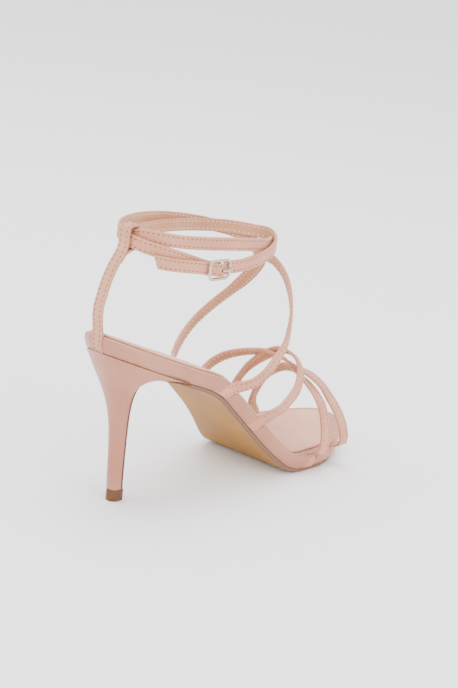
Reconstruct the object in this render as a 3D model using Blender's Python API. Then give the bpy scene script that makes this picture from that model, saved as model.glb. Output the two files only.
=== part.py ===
# Strappy stiletto sandal, right shoe, modelled at its real size.
# Frame: +X to the toe, +Y to the inner side of the foot, +Z up.
# The origin is the middle of the forefoot's flat spot, on the floor.
import math

import bmesh
import bpy
import numpy as np
from mathutils import Vector

MM = 0.001

# Sole
SOLE_LENGTH = 223 * MM
SEAT_HEIGHT = 93 * MM
SEAT_WIDTH = 50 * MM
BALL_WIDTH = 76.5 * MM
SEAT_ROUND = 33 * MM
TOE_ROUND = 46 * MM
PLATFORM_THICKNESS = 9.0 * MM
PLATFORM_FLARE = 1.9 * MM
PLATFORM_EDGE_RADIUS = 2.2 * MM
OUTSOLE_THICKNESS = 2.3 * MM
SOCK_THICKNESS = 1.1 * MM
SOCK_INSET_SEAT = 3.2 * MM
SOCK_INSET_BALL = 6.5 * MM
CLEARANCE = 0.3 * MM
STATION_STEP = 0.030

# Heel
SEAT_LENGTH = 55 * MM
TIP_WIDTH = 8.3 * MM
TOP_PIECE_HEIGHT = 6.8 * MM
TOP_PIECE_DEPTH = 8.2 * MM
TOP_PIECE_PROUD = 0.1 * MM
TOP_PIECE_BEVEL = 0.35 * MM
BREAST_COVER_THICKNESS = 0.8 * MM
BREAST_COVER_LAP = 0.15 * MM

# Straps
STRAP_WIDTH = 7.5 * MM
STRAP_THICKNESS = 1.7 * MM
STRAP_EDGE = 0.35 * MM
STRAP_PROUD = 0.35 * MM
STRAP_RISE = 60 * MM
SAMPLE_STEP = 4.8 * MM
LAYER_PITCH = 2.4 * MM
LOOP_GAP = 0.75 * MM
LOOP_BEND = 2.2 * MM
LOOP_REACH = 5 * MM
TAIL_NARROWER = 0.4 * MM
TAIL_THINNER = 0.2 * MM
RECESS_RUN_OUT = 6 * MM
TONGUE_SLANT = 2.2 * MM

# Ankle ring, an oval seen from above
ANKLE_RISE = 58 * MM
RING_LENGTH = 112 * MM
RING_WIDTH = 52 * MM
RING_CENTRE_ALONG = 0.340

# Buckle
BUCKLE_LENGTH = 16.5 * MM
BUCKLE_HEIGHT = 12.2 * MM
BUCKLE_WIRE = 1.8 * MM
BUCKLE_BAR = 1.4 * MM
BUCKLE_CORNER = 2.6 * MM
BUCKLE_TURN = 257.0
PRONG_THICKNESS = 1.2 * MM
PRONG_HOLE = 2.4 * MM

# Where the flat spot and the heel tip stand, as shares of the sole's length
FLAT_START = 0.685
FLAT_END = 0.770
TIP_ALONG = 0.1166
BREAST_ALONG = 0.2510

# Underside of the platform: share of the length, share of the seat's height
PROFILE = [
    # along, rise
    (0.000, 1.000),
    (0.110, 0.895),
    (0.250, 0.762),
    (0.360, 0.655),
    (0.450, 0.474),
    (0.540, 0.263),
    (0.585, 0.160),
    (0.625, 0.082),
    (0.657, 0.031),
    (FLAT_START, 0.007),
    (FLAT_START + 0.025, 0.000),
    (FLAT_END, 0.000),
    (0.885, 0.027),
    (1.000, 0.085),
]

# Outline from above: half width as shares of half the seat and half the ball
OUTLINE = [
    # along, of_seat, of_ball, drift to the inner side as a share of the ball
    (0.000, 1.06, 0.00, 0.000),
    (0.110, 1.08, 0.00, 0.000),
    (0.250, 1.00, 0.00, 0.005),
    (0.360, 1.02, 0.00, 0.000),
    (0.480, 0.50, 0.37, 0.004),
    (0.585, 0.00, 0.86, 0.033),
    (0.660, 0.00, 0.97, 0.062),
    (0.720, 0.00, 1.00, 0.072),
    (0.790, 0.00, 0.985, 0.066),
    (0.880, 0.00, 0.90, 0.057),
    (1.000, 0.00, 0.72, 0.050),
]

# Platform wall: share of its height, inset as shares of the flare and radius
WALL = [
    # height, of_flare, of_radius
    (0.00, 1.20, 0.0),
    (0.16, 0.62, 0.0),
    (0.42, 0.16, 0.0),
    (0.68, 0.00, 0.0),
    (0.88, 0.00, 0.22),
    (1.00, 0.00, 1.00),
]

# Outsole's edge and the sock's edge: share of the thickness, inset
OUTSOLE_EDGE = [
    # depth, inset
    (1.00, 0.9 * MM),
    (0.72, 0.1 * MM),
    (0.25, 0.0 * MM),
    (0.00, 0.3 * MM),
]

SOCK_EDGE = [
    # lift, inset
    (0.0, 0.00 * MM),
    (0.6, 0.00 * MM),
    (1.0, 0.55 * MM),
]

# Heel from its tip to the seat: each row is one slanting section
HEEL = [
    # back and front as shares of the seat length, measured from the tip,
    # the rise of each as shares of the seat's own rise there, half width
    # as a share of half the seat
    (-0.085, 0.026, 0.080, 0.102, 0.160),
    (-0.096, 0.020, 0.172, 0.222, 0.164),
    (-0.107, 0.017, 0.290, 0.375, 0.168),
    (-0.122, 0.015, 0.408, 0.528, 0.176),
    (-0.140, 0.016, 0.516, 0.662, 0.200),
    (-0.166, 0.024, 0.613, 0.770, 0.262),
    (-0.200, 0.050, 0.704, 0.866, 0.380),
    (-0.246, 0.104, 0.790, 0.926, 0.560),
    (-0.300, 0.208, 0.868, 0.966, 0.750),
    (-0.362, 0.362, 0.940, 0.982, 0.905),
    (-0.440, 0.560, 1.000, 1.000, 1.000),
]

# Half width of every heel section, from its round back to its flat breast
HEEL_SECTION = [
    # share of the depth, share of the half width
    (0.000, 0.00),
    (0.012, 0.20),
    (0.050, 0.41),
    (0.110, 0.60),
    (0.190, 0.76),
    (0.290, 0.885),
    (0.410, 0.965),
    (0.560, 1.00),
    (0.760, 0.985),
    (0.950, 0.94),
    (1.000, 0.90),
]

# Straps over the toes and instep: the two stretches that lie on the
# platform's wall, and the free stretch between them
WALL_STRETCHES = {
    # along, share of the wall's height
    "instep_in": [(0.431, -0.38), (0.448, 0.00), (0.468, 0.45), (0.492, 0.88)],
    "instep_out": [(0.846, 0.86), (0.842, 0.45), (0.838, 0.00), (0.835, -0.38)],
    "cross_in": [(0.739, -0.38), (0.742, 0.00), (0.748, 0.45), (0.754, 0.88)],
    "cross_out": [(0.530, 0.86), (0.512, 0.45), (0.492, 0.00), (0.475, -0.38)],
    "toe_in": [(0.847, -0.38), (0.850, 0.00), (0.853, 0.45), (0.856, 0.88)],
    "toe_out": [(0.743, 0.90), (0.738, 0.45), (0.733, 0.00), (0.730, -0.38)],
    "ankle_in": [(0.336, -0.45), (0.361, 0.00), (0.384, 0.43), (0.410, 0.88)],
    "ankle_out": [(0.338, -0.45), (0.363, 0.00), (0.388, 0.43), (0.415, 0.88)],
}

INSTEP_STRAP = [
    # along, across as a share of half the ball, rise over the footbed
    (0.555, 0.77, 0.26),
    (0.588, 0.84, 0.41),
    (0.622, 0.89, 0.56),
    (0.656, 0.84, 0.72),
    (0.683, 0.66, 0.83),
    (0.698, 0.36, 0.90),
    (0.689, 0.05, 0.94),
    (0.697, -0.24, 0.925),
    (0.709, -0.44, 0.868),
    (0.734, -0.63, 0.81),
    (0.758, -0.75, 0.72),
    (0.785, -0.83, 0.58),
    (0.816, -0.92, 0.39),
    (0.839, -0.97, 0.18),
    (0.847, -0.95, 0.03),
]

CROSS_STRAP = [
    # along, across, rise
    (0.763, 1.15, 0.18),
    (0.762, 1.05, 0.36),
    (0.748, 0.82, 0.56),
    (0.726, 0.53, 0.73),
    (0.707, 0.23, 0.87),
    (0.691, -0.01, 0.96),
    (0.690, -0.26, 1.02),
    (0.697, -0.46, 0.985),
    (0.691, -0.60, 0.905),
    (0.671, -0.72, 0.79),
    (0.648, -0.79, 0.64),
    (0.617, -0.82, 0.47),
    (0.585, -0.83, 0.29),
    (0.554, -0.82, 0.14),
]

TOE_STRAP = [
    # along, across, rise
    (0.857, 1.07, 0.07),
    (0.836, 0.92, 0.27),
    (0.803, 0.64, 0.49),
    (0.771, 0.26, 0.68),
    (0.744, -0.08, 0.79),
    (0.724, -0.31, 0.825),
    (0.713, -0.46, 0.812),
    (0.714, -0.62, 0.765),
    (0.726, -0.77, 0.67),
    (0.739, -0.91, 0.53),
    (0.746, -0.99, 0.34),
    (0.749, -1.02, 0.16),
    (0.744, -1.00, 0.03),
]

# Ankle straps: the climb from the wall, then turns round the ankle's oval
OUTER_CLIMB = [
    # along, across, height as a share of the ring's level
    (0.454, -0.84, 0.419),
    (0.481, -0.92, 0.453),
    (0.508, -0.96, 0.503),
    (0.538, -0.96, 0.553),
    (0.564, -0.88, 0.600),
    (0.588, -0.77, 0.656),
    (0.604, -0.63, 0.714),
    (0.609, -0.45, 0.776),
    (0.600, -0.25, 0.820),
]

INNER_CLIMB = [
    # along, across, height
    (0.447, 0.82, 0.409),
    (0.474, 0.94, 0.412),
    (0.510, 1.06, 0.434),
    (0.549, 1.13, 0.470),
    (0.583, 1.14, 0.506),
    (0.612, 1.07, 0.548),
    (0.635, 0.94, 0.594),
    (0.650, 0.75, 0.644),
    (0.655, 0.54, 0.698),
    (0.647, 0.32, 0.752),
    (0.628, 0.15, 0.803),
]

OUTER_TURN = [
    # turn in degrees from the toe's side, height, layer from the ankle out
    (1, 0.845, -0.75),
    (11, 0.863, 0.7),
    (20, 0.884, 1.2),
    (32, 0.902, 1.2),
    (48, 0.920, 1.2),
    (64, 0.938, 1.2),
    (80, 0.954, 1.2),
    (98, 0.968, 1.2),
    (120, 0.977, 1.2),
    (145, 0.977, 1.2),
    (163, 0.972, 1.2),
    (180, 0.964, 1.2),
    (196, 0.951, 1.2),
    (210, 0.938, 1.15),
    (225, 0.918, 0.7),
    (240, 0.892, 0.1),
    (249, 0.875, -0.13),
    (253.5, 0.869, 0.3),
    (BUCKLE_TURN, 0.866, 0.86),
    (258.8, 0.866, 0.86),
]

INNER_TURN = [
    # turn, height, layer
    (7, 0.832, 1.5),
    (-2, 0.861, 0.95),
    (-10, 0.880, 0.45),
    (-22, 0.893, 0.1),
    (-42, 0.904, 0.0),
    (-70, 0.928, 0.0),
    (-94, 0.947, 0.0),
    (-113, 0.958, 0.0),
    (-131, 0.967, 0.0),
    (-150, 0.978, 0.0),
    (-166, 0.982, 0.0),
    (-180, 0.974, 0.0),
    (-197, 0.958, 0.0),
    (-215, 0.946, 0.0),
    (-234, 0.941, 0.0),
    (-258, 0.939, 0.0),
    (-282, 0.934, 0.0),
    (-302, 0.928, 0.0),
    (-322, 0.922, 0.0),
    (-340, 0.916, 0.0),
    (-348, 0.914, 0.15),
    (-356, 0.912, 1.0),
    (-362, 0.910, 1.6),
    (-371, 0.905, 1.6),
    (-385, 0.896, 1.3),
    (-407, 0.885, 1.2),
    (-429, 0.874, 1.2),
    (-445, 0.867, 1.1),
    (-456.5, 0.866, 0.75),
    (-459.5, 0.866, 1.6),
    (-463, 0.866, 2.46),
    (-466.5, 0.868, 1.6),
    (-470, 0.870, 0.75),
    (-478, 0.878, 0.95),
    (-490, 0.887, 1.45),
    (-502, 0.896, 1.95),
    (-511, 0.903, 2.25),
]

# Heel strap: the share of the platform's wall at each point of its foot,
# then its lean from the seat's back (0) to the loop's outside (1)
HEEL_STRAP_FOOT = (-0.38, 0.00, 0.42, 0.88)

HEEL_STRAP_CLIMB = [
    # lean, height as a share of the ring's level
    (-0.02, 0.700),
    (-0.01, 0.738),
    (0.11, 0.778),
    (0.33, 0.838),
    (0.56, 0.877),
    (0.77, 0.905),
    (0.92, 0.926),
    (1.00, 0.948),
]

# Where the loop's inner side ends, and where the tail starts and leaves it,
# as shares of the ring's level
LOOP_INNER_END = 0.965
TAIL_START = 0.974
TAIL_LEAVES = 0.950

HEEL_STRAP_TAIL = [
    # lean, height
    (1.420, 0.9330),
    (1.180, 0.9245),
    (0.950, 0.9150),
    (0.815, 0.9000),
    (0.710, 0.8860),
]

PRONG_RUN = [
    # share of half the buckle, what its rise is measured from, rise
    (0.05, "bar", 0.05 * MM),
    (0.06, "strap", 0.00 * MM),
    (0.16, "strap", 0.90 * MM),
    (0.36, "strap", 1.10 * MM),
    (0.66, "strap", 0.30 * MM),
    (0.95, "rest", 0.10 * MM),
    (1.12, "rest", 0.00 * MM),
]

# Inside of the sandal: points that the straps bend round
CORE = [
    # along, across, height as a share of the ring's level
    (0.30, 0.00, 1.70),
    (0.335, 0.00, 0.82),
    (0.45, 0.00, 0.46),
    (0.70, 0.10, 0.20),
    (0.98, 0.15, 0.07),
]


def srgb(code):
    """Turn an sRGB hex colour into linear values."""
    parts = [int(code[i:i + 2], 16) / 255 for i in (0, 2, 4)]
    linear = [p / 12.92 if p <= 0.04045 else ((p + 0.055) / 1.055) ** 2.4 for p in parts]
    return (*linear, 1.0)


def material(name, code, roughness, metallic=0.0):
    made = bpy.data.materials.new(name)
    made.use_nodes = True
    shader = made.node_tree.nodes["Principled BSDF"]
    shader.inputs["Base Color"].default_value = srgb(code)
    shader.inputs["Roughness"].default_value = roughness
    shader.inputs["Metallic"].default_value = metallic
    made.diffuse_color = srgb(code)
    return made


def column(table, index, at):
    """Read one column of a table at a value of its first, without overshoot."""
    xs = [row[0] for row in table]
    ys = [row[index] for row in table]
    steps = [xs[i + 1] - xs[i] for i in range(len(xs) - 1)]
    slopes = [(ys[i + 1] - ys[i]) / steps[i] for i in range(len(steps))]
    tangents = [slopes[0]]
    for i in range(1, len(slopes)):
        before, after = slopes[i - 1], slopes[i]
        if before * after <= 0:
            tangents.append(0.0)
            continue
        near = 2 * steps[i] + steps[i - 1]
        far = steps[i] + 2 * steps[i - 1]
        tangents.append((near + far) / (near / before + far / after))
    tangents.append(slopes[-1])
    at = min(max(at, xs[0]), xs[-1])
    i = max(k for k in range(len(steps)) if xs[k] <= at)
    t = (at - xs[i]) / steps[i]
    return (
        (2 * t ** 3 - 3 * t ** 2 + 1) * ys[i]
        + (t ** 3 - 2 * t ** 2 + t) * steps[i] * tangents[i]
        + (3 * t ** 2 - 2 * t ** 3) * ys[i + 1]
        + (t ** 3 - t ** 2) * steps[i] * tangents[i + 1]
    )


def x_at(along):
    """Place along the shoe: 0 at the seat's back, 1 at the toe."""
    return (along - 0.5 * (FLAT_START + FLAT_END)) * SOLE_LENGTH


def along_at(x):
    return x / SOLE_LENGTH + 0.5 * (FLAT_START + FLAT_END)


def underside(along):
    """Height of the platform's underside."""
    ground = OUTSOLE_THICKNESS + CLEARANCE
    return ground + column(PROFILE, 1, along) * (SEAT_HEIGHT - ground)


def upright(along, thickness):
    """Upright measure of a layer that is this thick across the slope."""
    reach = 0.002
    low, high = max(along - reach, 0.0), min(along + reach, 1.0)
    slope = (underside(high) - underside(low)) / ((high - low) * SOLE_LENGTH)
    flat = FLAT_START <= along <= FLAT_END
    return thickness if flat else thickness * math.sqrt(1 + slope * slope)


def footbed(along):
    return underside(along) + upright(along, PLATFORM_THICKNESS)


def half_width(along):
    seat = column(OUTLINE, 1, along) * SEAT_WIDTH / 2
    ball = column(OUTLINE, 2, along) * BALL_WIDTH / 2
    ends = 1.0
    for reach, length in ((along * SOLE_LENGTH, SEAT_ROUND), ((1 - along) * SOLE_LENGTH, TOE_ROUND)):
        if reach < length:
            ends *= math.sqrt(max(1 - (1 - reach / length) ** 2, 0.0))
    return (seat + ball) * ends


def drift(along):
    return column(OUTLINE, 3, along) * BALL_WIDTH


def stations(start=0.0):
    """Shares of the length, closer together where the ends turn round."""
    seat_share = SEAT_ROUND / SOLE_LENGTH
    toe_share = TOE_ROUND / SOLE_LENGTH
    found = []
    if start < seat_share:
        found += [seat_share * (1 - math.cos(math.radians(a))) for a in range(0, 90, 15)]
    bends = [row[0] for row in PROFILE if seat_share < row[0] < 1 - toe_share]
    marks = [max(start, seat_share), *bends, 1 - toe_share]
    marks = sorted(m for m in marks if m >= max(start, seat_share))
    for low, high in zip(marks, marks[1:]):
        count = max(1, math.ceil((high - low) / STATION_STEP))
        found += [low + (high - low) * k / count for k in range(count)]
    found += [1 - toe_share * (1 - math.sin(math.radians(a))) for a in range(0, 91, 11)][:-1]
    found.append(1.0)
    return found


def outline(start=0.0):
    """Plan outline, from the back along the outer side to the toe and back."""
    shares = stations(start)
    rim = []
    for along in shares:
        rim.append((x_at(along), drift(along) - half_width(along)))
    for along in reversed(shares[:-1] if start else shares[1:-1]):
        rim.append((x_at(along), drift(along) + half_width(along)))
    return [Vector(p) for p in rim]


def inset_outline(rim, amount, open_back):
    """Move an outline inwards, by a length or by a function of the place."""
    count = len(rim)
    moved = []
    for i, point in enumerate(rim):
        if open_back and i in (0, count - 1):
            side = 1 if i == 0 else -1
            shift = Vector((0, side))
        else:
            ahead = rim[(i + 1) % count] - rim[i - 1]
            shift = Vector((-ahead.y, ahead.x)).normalized()
        length = amount(point.x) if callable(amount) else amount
        moved.append(point + shift * length)
    return moved


def level_rim(rim, height):
    """Stand an outline at a height that depends on the place along."""
    return [Vector((p.x, p.y, height(along_at(p.x)))) for p in rim]


def finish(bm, name, look, smooth_angle=35):
    bmesh.ops.recalc_face_normals(bm, faces=bm.faces)
    mesh = bpy.data.meshes.new(name)
    bm.to_mesh(mesh)
    bm.free()
    made = bpy.data.objects.new(name, mesh)
    bpy.context.scene.collection.objects.link(made)
    mesh.materials.append(look)
    mesh.shade_smooth()
    mesh.set_sharp_from_angle(angle=math.radians(smooth_angle))
    return made


def slab(name, rims, look, open_back=False):
    """Close a stack of outlines, with strips across its two faces."""
    bm = bmesh.new()
    rings = [[bm.verts.new(p) for p in rim] for rim in rims]
    count = len(rings[0])
    for low, high in zip(rings, rings[1:]):
        for i in range(count):
            k = (i + 1) % count
            bm.faces.new((low[i], low[k], high[k], high[i]))
    for ring in (rings[0], rings[-1]):
        first = 0 if open_back else 1
        last = count - 1
        pairs = [(i, last - i if open_back else count - i) for i in range(first, (count + 1) // 2)]
        if not open_back:
            bm.faces.new((ring[0], ring[1], ring[last]))
        for (a, b), (c, d) in zip(pairs, pairs[1:]):
            if c == d:
                bm.faces.new((ring[a], ring[c], ring[b]))
            else:
                bm.faces.new((ring[a], ring[c], ring[d], ring[b]))
        a, b = pairs[-1]
        if b - a == 2:
            bm.faces.new((ring[a], ring[a + 1], ring[b]))
    return finish(bm, name, look)


def make_platform(look):
    rim = outline()
    rims = []
    for height, of_flare, of_radius in WALL:
        inset = of_flare * PLATFORM_FLARE + of_radius * PLATFORM_EDGE_RADIUS
        rims.append(level_rim(
            inset_outline(rim, inset, False),
            lambda along: underside(along) + height * upright(along, PLATFORM_THICKNESS),
        ))
    return slab("platform", rims, look)


def make_sock(look):
    rim = outline()

    def inset(x):
        share = min(max((along_at(x) - BREAST_ALONG) / (FLAT_START - BREAST_ALONG), 0.0), 1.0)
        return SOCK_INSET_SEAT + share * (SOCK_INSET_BALL - SOCK_INSET_SEAT)

    rims = []
    for lift, extra in SOCK_EDGE:
        rims.append(level_rim(
            inset_outline(rim, lambda x: inset(x) + extra, False),
            lambda along: footbed(along) + CLEARANCE + upright(along, lift * SOCK_THICKNESS),
        ))
    return slab("sock", rims, look)


def make_outsole(look):
    start = BREAST_ALONG + (BREAST_COVER_THICKNESS + 2 * CLEARANCE) / SOLE_LENGTH
    rim = outline(start)
    edge = WALL[0][1] * PLATFORM_FLARE
    rims = []
    for drop, inset in OUTSOLE_EDGE:
        rims.append(level_rim(
            inset_outline(rim, edge + inset, True),
            lambda along: underside(along) - CLEARANCE - upright(along, drop * OUTSOLE_THICKNESS),
        ))
    return slab("outsole", rims, look, open_back=True)


def heel_row(turn):
    """Heel table read between its rows, with turn from 0 to the last row."""
    low = min(int(turn), len(HEEL) - 2)
    table = [(k, *HEEL[k]) for k in range(len(HEEL))]
    return [column(table, c, turn) for c in range(1, 6)] if turn > low else list(HEEL[low])


def heel_ends(turn):
    """Back and front points of a heel section, and its half width."""
    back, front, back_rise, front_rise, half = heel_row(turn)
    tip = x_at(TIP_ALONG)
    back_x = tip + back * SEAT_LENGTH
    front_x = tip + front * SEAT_LENGTH
    seat = [underside(along_at(x)) - CLEARANCE for x in (back_x, front_x)]
    foot = TOP_PIECE_HEIGHT + CLEARANCE
    start = HEEL[0]
    rises = []
    for rise, first, top in zip((back_rise, front_rise), start[2:4], seat):
        share = (rise - first) / (1 - first)
        rises.append(foot + share * (top - foot))
    base = TIP_WIDTH / SEAT_WIDTH
    wide = base + (half - start[4]) / (1 - start[4]) * (1 - base)
    return (back_x, rises[0]), (front_x, rises[1]), wide * SEAT_WIDTH / 2


def make_heel(look):
    bm = bmesh.new()
    rings = []
    last = len(HEEL) - 1
    turns = [k / 2 for k in range(2 * last + 1)]
    for turn in turns:
        (back_x, back_z), (front_x, front_z), half = heel_ends(turn)
        side = []
        for depth, wide in HEEL_SECTION:
            x = back_x + depth * (front_x - back_x)
            z = back_z + depth * (front_z - back_z)
            if turn == last:
                z = underside(along_at(x)) - CLEARANCE
            side.append((x, wide * half, z))
        loop = [(x, -y, z) for x, y, z in side] + [(x, y, z) for x, y, z in reversed(side[1:])]
        rings.append([bm.verts.new(p) for p in loop])
    count = len(rings[0])
    for low, high in zip(rings, rings[1:]):
        for i in range(count):
            k = (i + 1) % count
            bm.faces.new((low[i], low[k], high[k], high[i]))
    for ring in (rings[0], rings[-1]):
        bm.faces.new((ring[0], ring[1], ring[-1]))
        for i in range(1, count // 2):
            bm.faces.new((ring[i], ring[i + 1], ring[-i - 1], ring[-i]))
    return finish(bm, "heel", look)


def make_breast_cover(look):
    """Thin strip down the heel's front face."""
    bm = bmesh.new()
    last = len(HEEL) - 1
    turns = [k / 2 for k in range(2 * last + 1)]
    fronts = [heel_ends(turn) for turn in turns]
    line = [Vector((front[0], 0, front[1])) for _, front, _ in fronts]
    wide = HEEL_SECTION[-1][1]
    rings = []
    for i, point in enumerate(line):
        ahead = line[min(i + 1, last * 2)] - line[max(i - 1, 0)]
        out = Vector((ahead.z, 0, -ahead.x)).normalized()
        half = wide * fronts[i][2] + BREAST_COVER_LAP
        ring = []
        for gap in (CLEARANCE, CLEARANCE + BREAST_COVER_THICKNESS):
            spot = point + out * gap
            for y in (-half, half) if gap == CLEARANCE else (half, -half):
                ring.append(bm.verts.new((spot.x, y, spot.z)))
        rings.append(ring)
    for low, high in zip(rings, rings[1:]):
        for i in range(4):
            k = (i + 1) % 4
            bm.faces.new((low[i], low[k], high[k], high[i]))
    bm.faces.new(rings[0])
    bm.faces.new(rings[-1])
    return finish(bm, "breast_cover", look)


def make_top_piece(look):
    """The heel's replaceable tip, with a flat foot."""
    tip = x_at(TIP_ALONG)
    start = HEEL[0][0] * SEAT_LENGTH - TOP_PIECE_PROUD
    bm = bmesh.new()
    rings = []
    for z, inset in ((0.0, TOP_PIECE_BEVEL), (TOP_PIECE_BEVEL, 0.0), (TOP_PIECE_HEIGHT, 0.0)):
        side = []
        for depth, wide in HEEL_SECTION:
            x = tip + start + inset + depth * (TOP_PIECE_DEPTH - 2 * inset)
            y = wide * (TIP_WIDTH / 2 + TOP_PIECE_PROUD - inset)
            side.append((x, y, z))
        loop = [(x, -y, z) for x, y, z in side] + [(x, y, z) for x, y, z in reversed(side[1:])]
        rings.append([bm.verts.new(p) for p in loop])
    count = len(rings[0])
    for low, high in zip(rings, rings[1:]):
        for i in range(count):
            k = (i + 1) % count
            bm.faces.new((low[i], low[k], high[k], high[i]))
    bm.faces.new(rings[0])
    bm.faces.new(rings[-1])
    return finish(bm, "top_piece", look)


def ring_level():
    return footbed(0.0) + ANKLE_RISE


def wall_spot(along, height, side):
    """Point on the platform's outer wall, and the way out from it."""
    step = 0.004
    ahead = Vector((
        x_at(along + step) - x_at(along - step),
        drift(along + step) + side * half_width(along + step)
        - drift(along - step) - side * half_width(along - step),
    ))
    out = Vector((-side * ahead.y, side * ahead.x, 0)).normalized()
    inset = column(WALL, 1, height) * PLATFORM_FLARE + column(WALL, 2, height) * PLATFORM_EDGE_RADIUS
    rim = Vector((x_at(along), drift(along) + side * half_width(along), 0))
    spot = rim - out * inset
    spot.z = underside(along) + height * upright(along, PLATFORM_THICKNESS)
    return spot, out


def wall_stretch(name, side):
    """Strap centre points in the platform's recess, with their ways out."""
    rows = []
    for along, height in WALL_STRETCHES[name]:
        spot, out = wall_spot(along, height, side)
        rows.append((spot + out * (STRAP_PROUD - STRAP_THICKNESS / 2), out))
    return rows


def way_out(point):
    """Direction from the inside of the sandal to a point of a strap."""
    best = None
    spots = [
        Vector((x_at(a), y * BALL_WIDTH / 2, z * ring_level())) for a, y, z in CORE
    ]
    for low, high in zip(spots, spots[1:]):
        run = high - low
        share = min(max((point - low).dot(run) / run.length_squared, 0.0), 1.0)
        away = point - (low + run * share)
        if best is None or away.length < best.length:
            best = away
    return best.normalized()


def over_foot(rows):
    found = []
    for along, across, rise in rows:
        point = Vector((x_at(along), across * BALL_WIDTH / 2, footbed(along) + rise * STRAP_RISE))
        found.append((point, way_out(point)))
    return found


def climb(rows):
    found = []
    for along, across, height in rows:
        point = Vector((x_at(along), across * BALL_WIDTH / 2, height * ring_level()))
        found.append((point, way_out(point)))
    return found


def ring_spot(turn, height, offset):
    """Point on the ankle's oval, moved out by an offset."""
    angle = math.radians(turn)
    long, wide = RING_LENGTH / 2, RING_WIDTH / 2
    out = Vector((math.cos(angle) / long, math.sin(angle) / wide, 0)).normalized()
    spot = Vector((long * math.cos(angle), wide * math.sin(angle), 0)) + out * offset
    return Vector((x_at(RING_CENTRE_ALONG) + spot.x, spot.y, height * ring_level())), out


def turns(rows):
    return [ring_spot(turn, height, layer * LAYER_PITCH) for turn, height, layer in rows]


def smooth_run(rows, step):
    """Smooth curve through points, with the ways out blended along it."""
    points = [Vector(p) for p, _ in rows]
    count = len(points)
    lengths = [(points[i + 1] - points[i]).length for i in range(count - 1)]
    slopes = [(points[i + 1] - points[i]) / lengths[i] for i in range(count - 1)]
    tangents = [slopes[0]]
    for i in range(1, count - 1):
        tangents.append((slopes[i - 1] * lengths[i] + slopes[i] * lengths[i - 1]) / (lengths[i - 1] + lengths[i]))
    tangents.append(slopes[-1])
    run = []
    for i in range(count - 1):
        pieces = math.ceil(lengths[i] / step)
        for k in range(pieces + (i == count - 2)):
            t = k / pieces
            spot = (
                points[i] * (2 * t ** 3 - 3 * t ** 2 + 1)
                + tangents[i] * lengths[i] * (t ** 3 - 2 * t ** 2 + t)
                + points[i + 1] * (3 * t ** 2 - 2 * t ** 3)
                + tangents[i + 1] * lengths[i] * (t ** 3 - t ** 2)
            )
            out = rows[i][1] * (1 - t) + rows[i + 1][1] * t
            run.append((spot, out.normalized()))
    return run


def ribbon(bm, run, width, thickness, edge, slant=0.0):
    """Sweep a strap's flat section with broken edges along a run."""
    half, flat = width / 2, thickness / 2
    section = [
        (-half + edge, flat), (half - edge, flat), (half, flat - edge), (half, edge - flat),
        (half - edge, -flat), (edge - half, -flat), (-half, edge - flat), (-half, flat - edge),
    ]
    rings = []
    for i, (spot, out) in enumerate(run):
        ahead = (run[min(i + 1, len(run) - 1)][0] - run[max(i - 1, 0)][0]).normalized()
        up = (out - ahead * out.dot(ahead)).normalized()
        across = ahead.cross(up)
        lean = slant if i == len(run) - 1 else 0.0
        rings.append([
            bm.verts.new(spot + across * v + up * r + ahead * (lean * v / half)) for v, r in section
        ])
    for low, high in zip(rings, rings[1:]):
        for i in range(len(section)):
            k = (i + 1) % len(section)
            bm.faces.new((low[i], low[k], high[k]))
            bm.faces.new((low[i], high[k], high[i]))
    bm.faces.new(rings[0])
    bm.faces.new(rings[-1])


def strap(name, rows, look, slant=0.0, width=STRAP_WIDTH, thickness=STRAP_THICKNESS):
    bm = bmesh.new()
    ribbon(bm, smooth_run(rows, SAMPLE_STEP), width, thickness, STRAP_EDGE, slant)
    made = finish(bm, name, look, smooth_angle=50)
    combine(made, under_sole_cutter(look), "DIFFERENCE")
    return made


def recess_cutter(name, rows, last, look):
    """Strap end with a clearance round it, run out below the platform."""
    run = smooth_run(rows, SAMPLE_STEP)
    stop = min(range(len(run)), key=lambda i: (run[i][0] - rows[last][0]).length)
    run = run[:stop + 1]
    start, out = run[0]
    back = (start - run[1][0]).normalized()
    run.insert(0, (start + back * RECESS_RUN_OUT, out))
    bm = bmesh.new()
    ribbon(bm, run, STRAP_WIDTH + 2 * CLEARANCE, STRAP_THICKNESS + 2 * CLEARANCE, STRAP_EDGE)
    made = finish(bm, name, look)
    made.hide_render = True
    made.display_type = "WIRE"
    return made


def combine(target, other, operation):
    """Apply an exact Boolean and remove the second object."""
    step = target.modifiers.new("combine", "BOOLEAN")
    step.operation = operation
    step.solver = "EXACT"
    step.object = other
    graph = bpy.context.evaluated_depsgraph_get()
    mesh = bpy.data.meshes.new_from_object(target.evaluated_get(graph))
    target.modifiers.remove(step)
    old = target.data
    target.data = mesh
    bpy.data.meshes.remove(old)
    bpy.data.objects.remove(other, do_unlink=True)


def under_sole_cutter(look):
    """Everything below the platform's underside, to trim the strap ends."""
    reach, depth = 12 * MM, 16 * MM
    line = [(x_at(0.0) - reach, underside(0.0))]
    line += [(x_at(along), underside(along)) for along in stations()]
    line.append((x_at(1.0) + reach, underside(1.0)))
    bm = bmesh.new()
    rings = []
    for x, z in line:
        ring = [(x, -BALL_WIDTH, z), (x, BALL_WIDTH, z), (x, BALL_WIDTH, z - depth), (x, -BALL_WIDTH, z - depth)]
        rings.append([bm.verts.new(p) for p in ring])
    for low, high in zip(rings, rings[1:]):
        for i in range(4):
            k = (i + 1) % 4
            bm.faces.new((low[i], low[k], high[k], high[i]))
    bm.faces.new(rings[0])
    bm.faces.new(rings[-1])
    made = finish(bm, "under_sole", look)
    made.hide_render = True
    made.display_type = "WIRE"
    return made


def turned(rows):
    return list(reversed(rows))


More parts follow.
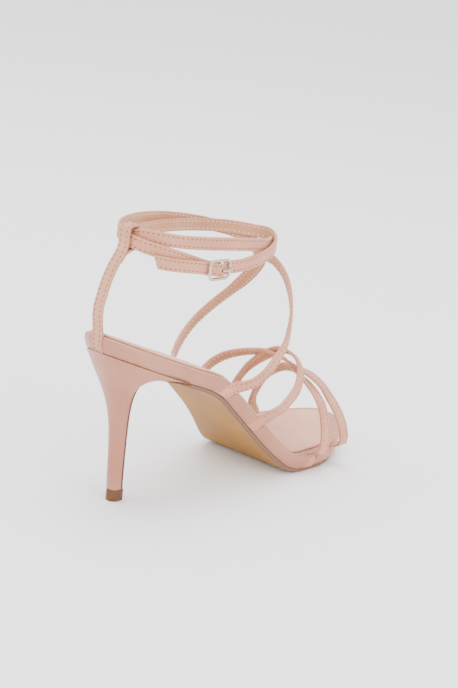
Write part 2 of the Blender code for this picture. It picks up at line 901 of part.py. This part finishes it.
def strap_routes():
    """Every strap's route, from its wall stretch on."""
    return {
        "instep": wall_stretch("instep_in", 1) + over_foot(INSTEP_STRAP) + wall_stretch("instep_out", -1),
        "cross": wall_stretch("cross_in", 1) + over_foot(CROSS_STRAP) + wall_stretch("cross_out", -1),
        "toe": wall_stretch("toe_in", 1) + over_foot(TOE_STRAP) + wall_stretch("toe_out", -1),
        "outer": wall_stretch("ankle_out", -1) + climb(OUTER_CLIMB) + turns(OUTER_TURN),
        "inner": wall_stretch("ankle_in", 1) + climb(INNER_CLIMB) + turns(INNER_TURN),
        "heel": heel_strap_rows(),
    }


def heel_strap_rows():
    """Heel strap: up the platform's back, up to the ring and over it."""
    out = Vector((-1, 0, 0))
    rows = []
    for height in HEEL_STRAP_FOOT:
        inset = column(WALL, 1, height) * PLATFORM_FLARE + column(WALL, 2, height) * PLATFORM_EDGE_RADIUS
        x = x_at(0.0) + inset
        z = underside(0.0) + height * upright(0.0, PLATFORM_THICKNESS)
        rows.append((Vector((x - STRAP_PROUD + STRAP_THICKNESS / 2, 0, z)), out))
    outside, inside, top = loop_places()
    for lean, height in HEEL_STRAP_CLIMB:
        rows.append((Vector((leaning(lean), 0, height * ring_level())), out))
    rows.append((Vector((outside, 0, top - LOOP_REACH)), out))
    middle, reach = (outside + inside) / 2, (inside - outside) / 2
    for angle in (150, 120, 90, 60, 30):
        turn = math.radians(angle)
        height = top - LOOP_BEND + LOOP_BEND * math.sin(turn)
        spot = Vector((middle + reach * math.cos(turn), 0, height))
        rows.append((spot, Vector((math.cos(turn), 0, math.sin(turn)))))
    rows.append((Vector((inside, 0, top - LOOP_REACH)), -out))
    rows.append((Vector((inside, 0, LOOP_INNER_END * ring_level())), -out))
    return rows


def leaning(lean):
    """Place of the heel strap between the seat's back and its loop."""
    seat = x_at(0.0) - STRAP_PROUD
    return seat + lean * (loop_places()[0] - seat)


def loop_places():
    """Where the heel strap's loop runs outside and inside the ankle straps."""
    back = ring_spot(180, 0, 0)[0].x
    outer_layer = max(layer for turn, _, layer in OUTER_TURN if turn == 180) * LAYER_PITCH
    inner_layer = max(layer for turn, _, layer in INNER_TURN if turn == -180) * LAYER_PITCH
    outside = back - outer_layer - STRAP_THICKNESS - LOOP_GAP
    bend = RING_LENGTH / 2 * (1 - math.sqrt(1 - (STRAP_WIDTH / RING_WIDTH) ** 2))
    inside = back - inner_layer + STRAP_THICKNESS + LOOP_GAP + bend
    highest = max(height for turn, height, _ in INNER_TURN if turn == -180) * ring_level()
    top = highest + STRAP_WIDTH / 2 + LOOP_GAP + STRAP_THICKNESS
    return outside, inside, top


def make_heel_strap(rows, look):
    made = strap("heel_strap", rows, look)
    inside = loop_places()[1]
    level = ring_level()
    tail = [
        (Vector((inside - TAIL_THINNER / 2, 0, TAIL_START * level)), Vector((1, 0, 0))),
        (Vector((inside + TAIL_THINNER / 2, 0, TAIL_LEAVES * level)), Vector((1, 0, 0))),
    ]
    for lean, height in HEEL_STRAP_TAIL:
        tail.append((Vector((leaning(lean), 0, height * level)), Vector((0.6, 0, -0.8))))
    bm = bmesh.new()
    run = smooth_run(tail, SAMPLE_STEP / 2)
    ribbon(bm, run, STRAP_WIDTH - TAIL_NARROWER, STRAP_THICKNESS - TAIL_THINNER, STRAP_EDGE)
    combine(made, finish(bm, "heel_strap_tail", look), "UNION")
    return made


def buckle_place(along, up, out):
    """Point in the buckle's own frame: along the strap, up and outwards."""
    base, normal = ring_spot(BUCKLE_TURN, buckle_height(), 0)
    ahead = Vector((-normal.y, normal.x, 0))
    return base + ahead * along + Vector((0, 0, up)) + normal * out


def buckle_height():
    return next(height for turn, height, _ in OUTER_TURN if turn == BUCKLE_TURN)


def buckle_offset():
    """How far out of the ankle's oval the buckle's wires lie."""
    layer = next(layer for turn, _, layer in OUTER_TURN if turn == BUCKLE_TURN)
    return layer * LAYER_PITCH + STRAP_THICKNESS / 2 + CLEARANCE + BUCKLE_BAR / 2


def tube(bm, path, radius, sides, closed):
    """Round tube along a path given as point, side way and top way."""
    rings = []
    for spot, first, second in path:
        ring = []
        for k in range(sides):
            angle = 2 * math.pi * (k + 0.5) / sides
            ring.append(bm.verts.new(spot + (first * math.cos(angle) + second * math.sin(angle)) * radius))
        rings.append(ring)
    links = list(zip(rings, rings[1:]))
    if closed:
        links.append((rings[-1], rings[0]))
    for low, high in links:
        for i in range(sides):
            k = (i + 1) % sides
            bm.faces.new((low[i], low[k], high[k], high[i]))
    if not closed:
        bm.faces.new(rings[0])
        bm.faces.new(rings[-1])


def make_buckle_frame(look):
    _, normal = ring_spot(BUCKLE_TURN, 0, 0)
    ahead = Vector((-normal.y, normal.x, 0))
    up = Vector((0, 0, 1))
    half_long = (BUCKLE_LENGTH - BUCKLE_WIRE) / 2
    half_high = (BUCKLE_HEIGHT - BUCKLE_WIRE) / 2
    path = []
    for corner, (sx, sz) in enumerate(((1, 1), (-1, 1), (-1, -1), (1, -1))):
        for step in range(5):
            angle = math.radians(90 * corner + 22.5 * step)
            way = ahead * math.cos(angle) + up * math.sin(angle)
            u = sx * (half_long - BUCKLE_CORNER)
            v = sz * (half_high - BUCKLE_CORNER)
            spot = buckle_place(u, v, buckle_offset()) + way * BUCKLE_CORNER
            path.append((spot, way, normal))
    bm = bmesh.new()
    tube(bm, path, BUCKLE_WIRE / 2, 8, True)
    made = finish(bm, "buckle_frame", look)
    bar = bmesh.new()
    ends = [
        (buckle_place(0, side * half_high, buckle_offset()), ahead, normal) for side in (-1, 1)
    ]
    tube(bar, ends, BUCKLE_BAR / 2, 8, False)
    combine(made, finish(bar, "buckle_bar", look), "UNION")
    return made


def prong_path():
    """Prong from the middle bar, through the strap, to the end bar."""
    bar_top = buckle_offset() + BUCKLE_BAR / 2 + CLEARANCE
    strap_top = bar_top + STRAP_THICKNESS
    end = (BUCKLE_LENGTH - BUCKLE_WIRE) / 2
    rest = buckle_offset() + BUCKLE_WIRE / 2 + CLEARANCE + PRONG_THICKNESS / 2
    seats = {"bar": bar_top, "strap": strap_top, "rest": rest}
    return [(share * end, seats[seat] + rise) for share, seat, rise in PRONG_RUN]


def make_prong(look):
    up = Vector((0, 0, 1))
    spots = [buckle_place(u, 0, r) for u, r in prong_path()]
    bm = bmesh.new()
    path = []
    for i, spot in enumerate(spots):
        ahead = (spots[min(i + 1, len(spots) - 1)] - spots[max(i - 1, 0)]).normalized()
        path.append((spot, up, ahead.cross(up)))
    tube(bm, path, PRONG_THICKNESS / 2, 8, False)
    return finish(bm, "buckle_prong", look)


def prong_hole_cutter(look):
    start, end = prong_path()[0], prong_path()[1]
    spots = [
        buckle_place(start[0], 0, start[1] - 0.6 * MM),
        buckle_place(end[0] + 0.3 * MM, 0, end[1] + 2.2 * MM),
    ]
    ahead = (spots[1] - spots[0]).normalized()
    up = Vector((0, 0, 1))
    bm = bmesh.new()
    tube(bm, [(spot, up, ahead.cross(up)) for spot in spots], PRONG_HOLE / 2, 10, False)
    made = finish(bm, "prong_hole", look)
    made.hide_render = True
    made.display_type = "WIRE"
    return made


def build():
    for old in list(bpy.data.objects):
        bpy.data.objects.remove(old, do_unlink=True)
    leather = material("upper_leather", "D6B5A8", 0.45)
    lining = material("sock_lining", "DCC0B3", 0.55)
    covered = material("heel_leather", "CDAFA4", 0.42)
    sole = material("outsole_board", "B8935F", 0.40)
    edge = material("edge_dye", "8A6448", 0.55)
    lift = material("top_piece_rubber", "94694A", 0.60)
    metal = material("buckle_nickel", "D8D4CE", 0.25, 1.0)

    routes = strap_routes()
    platform = make_platform(covered)
    for name, rows in routes.items():
        combine(platform, recess_cutter("recess_" + name, rows, 5, covered), "DIFFERENCE")
        if name in ("instep", "cross", "toe"):
            far = recess_cutter("recess_far_" + name, turned(rows), 5, covered)
            combine(platform, far, "DIFFERENCE")
    make_sock(lining)
    make_outsole(sole)
    make_heel(covered)
    make_breast_cover(edge)
    make_top_piece(lift)

    vamp = strap("vamp_straps", routes["instep"], leather)
    combine(vamp, strap("cross_strap", routes["cross"], leather), "UNION")
    combine(vamp, strap("toe_strap", routes["toe"], leather), "UNION")
    strap("ankle_strap_outer", routes["outer"], leather)
    inner = strap("ankle_strap_inner", routes["inner"], leather, slant=TONGUE_SLANT)
    combine(inner, prong_hole_cutter(leather), "DIFFERENCE")
    make_heel_strap(routes["heel"], leather)
    make_buckle_frame(metal)
    make_prong(metal)


build()
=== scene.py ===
# Looks of a strappy stiletto sandal, right shoe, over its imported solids.
# Metres: +X to the toe, +Y to the inner side of the foot, +Z up.
import math

import bmesh
import bpy
from mathutils import Matrix, Vector


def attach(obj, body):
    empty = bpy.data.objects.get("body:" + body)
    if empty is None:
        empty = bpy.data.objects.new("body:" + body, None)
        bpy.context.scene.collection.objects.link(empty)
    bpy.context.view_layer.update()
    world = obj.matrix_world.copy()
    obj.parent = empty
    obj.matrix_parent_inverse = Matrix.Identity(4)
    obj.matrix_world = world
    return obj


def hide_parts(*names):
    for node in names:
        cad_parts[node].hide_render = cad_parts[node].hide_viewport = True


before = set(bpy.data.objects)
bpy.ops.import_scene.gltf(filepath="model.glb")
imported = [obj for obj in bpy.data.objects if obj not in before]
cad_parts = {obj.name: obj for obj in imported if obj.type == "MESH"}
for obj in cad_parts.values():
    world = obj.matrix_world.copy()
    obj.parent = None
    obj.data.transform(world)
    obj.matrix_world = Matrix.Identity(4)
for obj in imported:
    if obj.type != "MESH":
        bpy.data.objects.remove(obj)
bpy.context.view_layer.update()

MM = 0.001

# Camera, where the photograph was taken from, turned towards the whole shoe
CAMERA_PLACE = Vector((-0.908, -0.7215, 0.405))
CAMERA_HEADING = math.radians(44.16)
CAMERA_PITCH = math.radians(13.45)
CAMERA_ROLL = math.radians(5.29)
CAMERA_LENS = 102.9
AIM = Vector((-0.047, 0.002, 0.0795))

# Straps: how their edges and faces are told apart
MERGE_WITHIN = 0.004 * MM
STRAP_CHAMFER_MOST = 0.8 * MM
STRAP_FACE_LEAST = 2.5 * MM
BORDER_LEAST = 0.05 * MM
BORDER_ANGLES = (math.radians(25), math.radians(65))
STRAIGHT_ON_LEAST = 0.5
FACING_LEAST = 0.45
SMOOTH_BELOW = math.radians(32)

# Stitches, wider than real thread so that they show in the render
STITCH_PITCH = 2.9 * MM
STITCH_LENGTH = 1.5 * MM
STITCH_WIDTH = 0.58 * MM
STITCH_HEIGHT = 0.42 * MM
STITCH_INSET = 1.20 * MM
STITCH_STANDS_OFF = 0.1

# Studio: floor side in metres, room's strength, and lamps as
# name, place, target, size, power and tint
FLOOR_SIDE = 30
ROOM_STRENGTH = 2.4
LAMPS = [
    ("overhead_lamp", (0.1, 0.3, 1.6), (-0.05, 0, 0.05), 1.4, 25, "#FFFFFF"),
    ("front_lamp", (-0.4, -1.5, 0.9), (-0.05, 0, 0.08), 1.0, 18, "#FFF8F2"),
    ("side_lamp", (-1.4, 0.9, 0.8), (-0.1, 0, 0.08), 0.9, 10, "#FFFFFF"),
]

# Middle of the foot that the straps go round, from over the ankle to the toes
FOOT_LINE = [
    Vector((-0.095, 0.000, 0.270)),
    Vector((-0.088, 0.000, 0.132)),
    Vector((-0.062, 0.000, 0.074)),
    Vector((-0.006, 0.004, 0.032)),
    Vector((0.056, 0.006, 0.011)),
]


def colour(code):
    """Turn an sRGB hex colour into linear values."""
    parts = [int(code[i:i + 2], 16) / 255 for i in (1, 3, 5)]
    linear = [p / 12.92 if p <= 0.04045 else ((p + 0.055) / 1.055) ** 2.4 for p in parts]
    return (*linear, 1.0)


def add_node(tree, kind, settings=None, **inputs):
    """Add a node with its settings; an input is a value or a socket to link."""
    made = tree.nodes.new(kind)
    for name, value in (settings or {}).items():
        setattr(made, name, value)
    for name, value in inputs.items():
        socket = made.inputs[name.replace("_", " ")]
        if isinstance(value, bpy.types.NodeSocket):
            tree.links.new(value, socket)
        else:
            socket.default_value = value
    return made


def start_material(name, **constants):
    """New material with constants on its shader; gives the tree and shader."""
    made = bpy.data.materials.new(name)
    made.use_nodes = True
    shader = made.node_tree.nodes["Principled BSDF"]
    for key, value in constants.items():
        shader.inputs[key.replace("_", " ")].default_value = value
    return made, made.node_tree, shader


def grained(name, light, dark, grain, relief, roughness, cloud=16 * MM, **constants):
    """Leather-like finish: a fine grain in relief and a soft cloudy colour."""
    made, tree, shader = start_material(name, **constants)
    place = add_node(tree, "ShaderNodeTexCoord").outputs["Object"]
    clouds = add_node(
        tree, "ShaderNodeTexNoise", Vector=place, Scale=1 / cloud, Detail=3.0,
    ).outputs["Fac"]
    spread = add_node(
        tree, "ShaderNodeMapRange", Value=clouds, From_Min=0.32, From_Max=0.68,
    ).outputs["Result"]
    tone = add_node(tree, "ShaderNodeMixRGB", Fac=spread, Color1=colour(dark), Color2=colour(light))
    tree.links.new(tone.outputs["Color"], shader.inputs["Base Color"])
    gloss = add_node(
        tree, "ShaderNodeMapRange", Value=clouds, From_Min=0.3, From_Max=0.7,
        To_Min=roughness + 0.05, To_Max=roughness - 0.04,
    )
    tree.links.new(gloss.outputs["Result"], shader.inputs["Roughness"])
    cells = add_node(
        tree, "ShaderNodeTexVoronoi", {"feature": "DISTANCE_TO_EDGE"},
        Vector=place, Scale=1 / grain,
    ).outputs["Distance"]
    hills = add_node(tree, "ShaderNodeMapRange", Value=cells, From_Max=0.22).outputs["Result"]
    swell = add_node(
        tree, "ShaderNodeTexNoise", Vector=place, Scale=1 / (6 * MM), Detail=2.0,
    ).outputs["Fac"]
    fine = add_node(tree, "ShaderNodeBump", Height=hills, Strength=relief, Distance=0.05 * MM)
    soft = add_node(
        tree, "ShaderNodeBump", Height=swell, Strength=0.35, Distance=0.25 * MM,
        Normal=fine.outputs["Normal"],
    )
    tree.links.new(soft.outputs["Normal"], shader.inputs["Normal"])
    return made


def strap_leather():
    """Smooth coated nappa: close grain and a low satin gloss."""
    return grained(
        "blush_nappa_leather", "#C6896C", "#B87C60", 0.9 * MM, 0.30, 0.42,
        IOR=1.5, Coat_Weight=0.08, Coat_Roughness=0.35,
    )


def lining_leather():
    """Pigment-finished lining on the straps' inner side: duller and tanner."""
    return grained("tan_strap_lining", "#B98867", "#AB7858", 0.8 * MM, 0.35, 0.58, IOR=1.46)


def painted_edge():
    """Edge ink over the cut leather: slightly glossy and a shade deeper."""
    return grained("strap_edge_ink", "#BE8168", "#B0735A", 1.2 * MM, 0.2, 0.38, IOR=1.5)


def covered_leather():
    """The same nappa stretched over the platform and the heel, so smoother."""
    return grained(
        "stretched_nappa_cover", "#AF755D", "#A36750", 1.1 * MM, 0.18, 0.40, cloud=30 * MM,
        IOR=1.5, Coat_Weight=0.10, Coat_Roughness=0.32,
    )


def sock_leather():
    """Soft padded sock lining: matt, with a light sheen."""
    return grained(
        "sock_lining_leather", "#D19B80", "#C68D73", 1.0 * MM, 0.35, 0.56, cloud=24 * MM,
        IOR=1.46, Sheen_Weight=0.12, Sheen_Roughness=0.5,
    )


def sole_board():
    """Burnished outsole: tan below and dyed brown round its edge."""
    made, tree, shader = start_material(
        "burnished_sole_board", IOR=1.45, Coat_Weight=0.05, Coat_Roughness=0.4,
    )
    coords = add_node(tree, "ShaderNodeTexCoord")
    place = coords.outputs["Object"]
    clouds = add_node(
        tree, "ShaderNodeTexNoise", Vector=place, Scale=1 / (34 * MM), Detail=4.0,
    ).outputs["Fac"]
    spread = add_node(
        tree, "ShaderNodeMapRange", Value=clouds, From_Min=0.3, From_Max=0.7,
    ).outputs["Result"]
    face = add_node(
        tree, "ShaderNodeMixRGB", Fac=spread, Color1=colour("#8F6122"), Color2=colour("#A67631"),
    ).outputs["Color"]
    # The rim faces sideways or to the toe, and the underside faces neither way
    facing = add_node(tree, "ShaderNodeSeparateXYZ", Vector=coords.outputs["Normal"])
    aside = add_node(
        tree, "ShaderNodeMath", {"operation": "ABSOLUTE"}, Value=facing.outputs["Y"],
    )
    outwards = add_node(
        tree, "ShaderNodeMath", {"operation": "MAXIMUM"}, Value=aside.outputs["Value"],
    )
    tree.links.new(facing.outputs["X"], outwards.inputs[1])
    rim = add_node(
        tree, "ShaderNodeMapRange", Value=outwards.outputs["Value"],
        From_Min=0.3, From_Max=0.5,
    ).outputs["Result"]
    tone = add_node(tree, "ShaderNodeMixRGB", Fac=rim, Color1=face, Color2=colour("#70503E"))
    tree.links.new(tone.outputs["Color"], shader.inputs["Base Color"])
    gloss = add_node(tree, "ShaderNodeMapRange", Value=clouds, To_Min=0.52, To_Max=0.66)
    tree.links.new(gloss.outputs["Result"], shader.inputs["Roughness"])
    fibres = add_node(
        tree, "ShaderNodeTexNoise", Vector=place, Scale=1 / (1.6 * MM), Detail=3.0,
    ).outputs["Fac"]
    relief = add_node(tree, "ShaderNodeBump", Height=fibres, Strength=0.18, Distance=0.06 * MM)
    tree.links.new(relief.outputs["Normal"], shader.inputs["Normal"])
    return made


def edge_dye():
    """Brown dye on the heel breast: dull, with a fine grain in relief."""
    return grained("brown_edge_dye", "#6B4126", "#58341D", 1.4 * MM, 0.3, 0.55, IOR=1.48)


def top_piece_rubber():
    """Hard moulded rubber lift: flat brown with a fine pebble."""
    return grained(
        "brown_lift_rubber", "#613710", "#512C0A", 0.7 * MM, 0.5, 0.6, cloud=5 * MM, IOR=1.52,
    )


def buckle_nickel():
    """Polished plated nickel, with faint polishing haze."""
    made, tree, shader = start_material("polished_nickel_plate", Metallic=1.0)
    shader.inputs["Base Color"].default_value = colour("#C6BAA9")
    place = add_node(tree, "ShaderNodeTexCoord").outputs["Object"]
    haze = add_node(
        tree, "ShaderNodeTexNoise", Vector=place, Scale=1 / (1.5 * MM), Detail=4.0,
    ).outputs["Fac"]
    gloss = add_node(tree, "ShaderNodeMapRange", Value=haze, To_Min=0.10, To_Max=0.22)
    tree.links.new(gloss.outputs["Result"], shader.inputs["Roughness"])
    return made


def thread(name, light, dark):
    """Twisted polyester thread: a slanting twist in relief and a soft gloss."""
    made, tree, shader = start_material(name, IOR=1.5, Sheen_Weight=0.15)
    place = add_node(tree, "ShaderNodeTexCoord").outputs["Object"]
    twist = add_node(
        tree, "ShaderNodeTexWave", {"bands_direction": "DIAGONAL"},
        Vector=place, Scale=1 / (0.9 * MM),
    ).outputs["Fac"]
    tone = add_node(tree, "ShaderNodeMixRGB", Fac=twist, Color1=colour(dark), Color2=colour(light))
    tree.links.new(tone.outputs["Color"], shader.inputs["Base Color"])
    relief = add_node(tree, "ShaderNodeBump", Height=twist, Strength=0.4, Distance=0.05 * MM)
    tree.links.new(relief.outputs["Normal"], shader.inputs["Normal"])
    shader.inputs["Roughness"].default_value = 0.5
    return made


def floor_paper():
    """Seamless backdrop paper: matt and very slightly uneven."""
    made, tree, shader = start_material("pale_backdrop_paper", Roughness=0.85, IOR=1.4)
    place = add_node(tree, "ShaderNodeTexCoord").outputs["Object"]
    clouds = add_node(
        tree, "ShaderNodeTexNoise", Vector=place, Scale=2.0, Detail=2.0,
    ).outputs["Fac"]
    tone = add_node(
        tree, "ShaderNodeMixRGB", Fac=clouds, Color1=colour("#EDEDED"), Color2=colour("#F0EFEF"),
    )
    tree.links.new(tone.outputs["Color"], shader.inputs["Base Color"])
    return made


def dress(node, look):
    """Give a CAD node that stays as it is its real material."""
    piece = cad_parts[node]
    for slot in piece.material_slots:
        slot.material = look
    if not piece.material_slots:
        piece.data.materials.append(look)


def choose(piece):
    """Deselect everything, then select one piece and make it active."""
    bpy.ops.object.select_all(action="DESELECT")
    piece.select_set(True)
    bpy.context.view_layer.objects.active = piece


def away_from_foot(point):
    """Direction from the middle of the foot to a point."""
    nearest = None
    for low, high in zip(FOOT_LINE, FOOT_LINE[1:]):
        run = high - low
        share = min(max((point - low).dot(run) / run.length_squared, 0.0), 1.0)
        away = point - (low + run * share)
        if nearest is None or away.length < nearest.length:
            nearest = away
    return nearest.normalized()


def height_over(face, edge):
    """Height of a triangle over one of its edges."""
    return 2 * face.calc_area() / max(edge.calc_length(), 1e-9)


def strap_borders(bm):
    """Edges where a strap's flat face meets its broken edge, with that face."""
    found = {}
    for edge in bm.edges:
        if len(edge.link_faces) != 2 or edge.calc_length() < BORDER_LEAST:
            continue
        if not BORDER_ANGLES[0] < edge.calc_face_angle(0.0) < BORDER_ANGLES[1]:
            continue
        narrow, wide = sorted(edge.link_faces, key=lambda face: height_over(face, edge))
        thin_enough = height_over(narrow, edge) < STRAP_CHAMFER_MOST
        if thin_enough and height_over(wide, edge) > STRAP_FACE_LEAST:
            found[edge] = wide
    return found


def next_border(found, used, corner, heading):
    """The unused border edge that goes on most nearly straight."""
    best, best_turn = None, STRAIGHT_ON_LEAST
    for edge in corner.link_edges:
        if edge not in found or edge in used:
            continue
        ahead = (edge.other_vert(corner).co - corner.co).normalized()
        if ahead.dot(heading) > best_turn:
            best, best_turn = edge, ahead.dot(heading)
    return best


def border_lines(bm):
    """Chain the border edges into lines of (start, end, inwards, normal)."""
    found = strap_borders(bm)
    used = set()
    lines = []
    for first in found:
        if first in used:
            continue
        used.add(first)
        halves = []
        for tail, head in (first.verts, reversed(first.verts)):
            steps = []
            edge, corner, heading = first, head, (head.co - tail.co).normalized()
            while True:
                edge = next_border(found, used, corner, heading)
                if edge is None:
                    break
                used.add(edge)
                after = edge.other_vert(corner)
                steps.append((edge, corner, after))
                heading = (after.co - corner.co).normalized()
                corner = after
            halves.append(steps)
        ahead, behind = halves
        chain = [(edge, after, corner) for edge, corner, after in reversed(behind)]
        chain += [(first, *first.verts)] + ahead
        line = []
        for edge, start, end in chain:
            wide = found[edge]
            along = (end.co - start.co).normalized()
            inwards = wide.normal.cross(along)
            if inwards.dot(wide.calc_center_median() - start.co) < 0:
                inwards.negate()
            line.append((start.co.copy(), end.co.copy(), inwards, wide.normal.copy()))
        lines.append(line)
    return lines


def stitch_places(lines):
    """Places of every stitch: outer ones first, then those on the lining."""
    outer, inner = [], []
    for line in lines:
        length = sum((end - start).length for start, end, _, _ in line)
        if length < 3 * STITCH_PITCH:
            continue
        count = round(length / STITCH_PITCH)
        step = length / count
        due, gone = step / 2, 0.0
        for start, end, inwards, normal in line:
            run = (end - start).length
            while due < gone + run:
                along = (end - start) / run
                spot = start + along * (due - gone) + inwards * STITCH_INSET
                side = outer if normal.dot(away_from_foot(spot)) > 0 else inner
                side.append(Matrix((along, inwards, normal)).transposed().to_4x4())
                side[-1].translation = spot + normal * STITCH_HEIGHT * STITCH_STANDS_OFF
                due += step
            gone += run
    return outer, inner


def one_stitch():
    """A single rounded stitch, lying along X."""
    bpy.ops.object.select_all(action="DESELECT")
    bpy.ops.mesh.primitive_uv_sphere_add(segments=6, ring_count=5, radius=0.5)
    stitch = bpy.context.object
    bpy.ops.object.mode_set(mode="EDIT")
    bpy.ops.mesh.select_all(action="SELECT")
    bpy.ops.transform.rotate(value=math.pi / 2, orient_axis="Y", center_override=(0, 0, 0))
    bpy.ops.transform.resize(value=(STITCH_LENGTH, STITCH_WIDTH, STITCH_HEIGHT))
    bpy.ops.object.mode_set(mode="OBJECT")
    shape = stitch.data
    bpy.data.objects.remove(stitch, do_unlink=True)
    return shape


def sew(name, places, shape, look):
    """Copy the stitch to all its places, as one piece."""
    bm = bmesh.new()
    for place in places:
        before = len(bm.verts)
        bm.from_mesh(shape)
        bm.verts.ensure_lookup_table()
        bmesh.ops.transform(bm, matrix=place, verts=bm.verts[before:])
    bmesh.ops.recalc_face_normals(bm, faces=bm.faces)
    mesh = bpy.data.meshes.new(name)
    bm.to_mesh(mesh)
    bm.free()
    mesh.materials.append(look)
    mesh.shade_smooth()
    piece = bpy.data.objects.new(name, mesh)
    bpy.context.scene.collection.objects.link(piece)
    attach(piece, "root")


def make_strap(node, name, looks, shape, threads):
    """Lined strap over its CAD node: leather, lining, inked edges, stitches."""
    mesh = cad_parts[node].data.copy()
    mesh.name = name
    piece = bpy.data.objects.new(name, mesh)
    bpy.context.scene.collection.objects.link(piece)
    choose(piece)
    bpy.ops.mesh.customdata_custom_splitnormals_clear()
    mesh.materials.clear()
    for look in looks:
        mesh.materials.append(look)
    bm = bmesh.new()
    bm.from_mesh(mesh)
    bmesh.ops.remove_doubles(bm, verts=bm.verts, dist=MERGE_WITHIN)
    bm.normal_update()
    lines = border_lines(bm)
    for face in bm.faces:
        facing = face.normal.dot(away_from_foot(face.calc_center_median()))
        if facing > FACING_LEAST:
            face.material_index = 0
        elif facing < -FACING_LEAST:
            face.material_index = 1
        else:
            face.material_index = 2
    bm.to_mesh(mesh)
    bm.free()
    bpy.ops.object.shade_smooth_by_angle(angle=SMOOTH_BELOW)
    outer, inner = stitch_places(lines)
    sew(name + "_top_stitches", outer, shape, threads[0])
    sew(name + "_lining_stitches", inner, shape, threads[1])
    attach(piece, "root")
    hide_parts(node)


def make_straps():
    """All four strap pieces; the top thread is darkened as painted shade in its stitch grooves, and
    over the toes it is painted paler, nearer the leather, for the brighter light there.
    """
    looks = [strap_leather(), lining_leather(), painted_edge()]
    cream = thread("cream_thread", "#E6D3C4", "#D2BBA9")
    # Painted shade: the dark brown top thread stands for shadow in the sunk stitch grooves
    threads = [thread("thread_painted_dark_as_groove_shade", "#74493A", "#553224"), cream]
    # Painted light: the same top thread over the toes is painted paler, for the brighter light
    # falling there
    toe_threads = [thread("thread_painted_paler_where_lit", "#A06C57", "#8A5845"), cream]
    shape = one_stitch()
    make_strap("vamp_straps", "crossed_toe_straps", looks, shape, toe_threads)
    make_strap("ankle_strap_outer", "outer_ankle_strap", looks, shape, threads)
    make_strap("ankle_strap_inner", "inner_ankle_strap", looks, shape, threads)
    make_strap("heel_strap", "heel_loop_strap", looks, shape, threads)


def make_floor():
    """Flat sheet of backdrop paper under the shoe."""
    bpy.ops.object.select_all(action="DESELECT")
    bpy.ops.mesh.primitive_plane_add(size=FLOOR_SIDE)
    floor = bpy.context.object
    floor.name = "floor"
    floor.data.materials.append(floor_paper())


def add_light(name, place, target, size, power, tint):
    """Round soft lamp aimed at a point."""
    lamp = bpy.data.lights.new(name, "AREA")
    lamp.shape = "DISK"
    lamp.size = size
    lamp.energy = power
    lamp.color = colour(tint)[:3]
    made = bpy.data.objects.new(name, lamp)
    made.location = place
    made.rotation_euler = (Vector(target) - Vector(place)).to_track_quat("-Z", "Y").to_euler()
    bpy.context.scene.collection.objects.link(made)


def light_room():
    """Big soft lamps over a pale room, as in a catalogue studio."""
    world = bpy.data.worlds.new("studio_room")
    world.use_nodes = True
    backdrop = world.node_tree.nodes["Background"]
    backdrop.inputs["Color"].default_value = colour("#F4F4F6")
    backdrop.inputs["Strength"].default_value = ROOM_STRENGTH
    bpy.context.scene.world = world
    for lamp in LAMPS:
        add_light(*lamp)


def place_camera():
    """The photograph's viewpoint, turned so that the whole shoe is in view."""
    level = Vector((math.cos(CAMERA_HEADING), math.sin(CAMERA_HEADING), 0))
    ahead = level * math.cos(CAMERA_PITCH) + Vector((0, 0, -math.sin(CAMERA_PITCH)))
    right = ahead.cross(Vector((0, 0, 1))).normalized()
    up = right.cross(ahead)
    right = right * math.cos(CAMERA_ROLL) + up * math.sin(CAMERA_ROLL)
    ahead = (AIM - CAMERA_PLACE).normalized()
    right = (right - ahead * right.dot(ahead)).normalized()
    up = right.cross(ahead)
    turn = Matrix((right, up, -ahead)).transposed().to_4x4()
    turn.translation = CAMERA_PLACE
    lens = bpy.data.cameras.new("camera")
    lens.lens = CAMERA_LENS
    lens.sensor_width = 36
    camera = bpy.data.objects.new("camera", lens)
    camera.matrix_world = turn
    bpy.context.scene.collection.objects.link(camera)
    bpy.context.scene.camera = camera


cover = covered_leather()
nickel = buckle_nickel()
dress("platform", cover)
dress("heel", cover)
dress("sock", sock_leather())
dress("outsole", sole_board())
dress("breast_cover", edge_dye())
dress("top_piece", top_piece_rubber())
dress("buckle_frame", nickel)
dress("buckle_prong", nickel)
make_straps()
make_floor()
light_room()
place_camera()
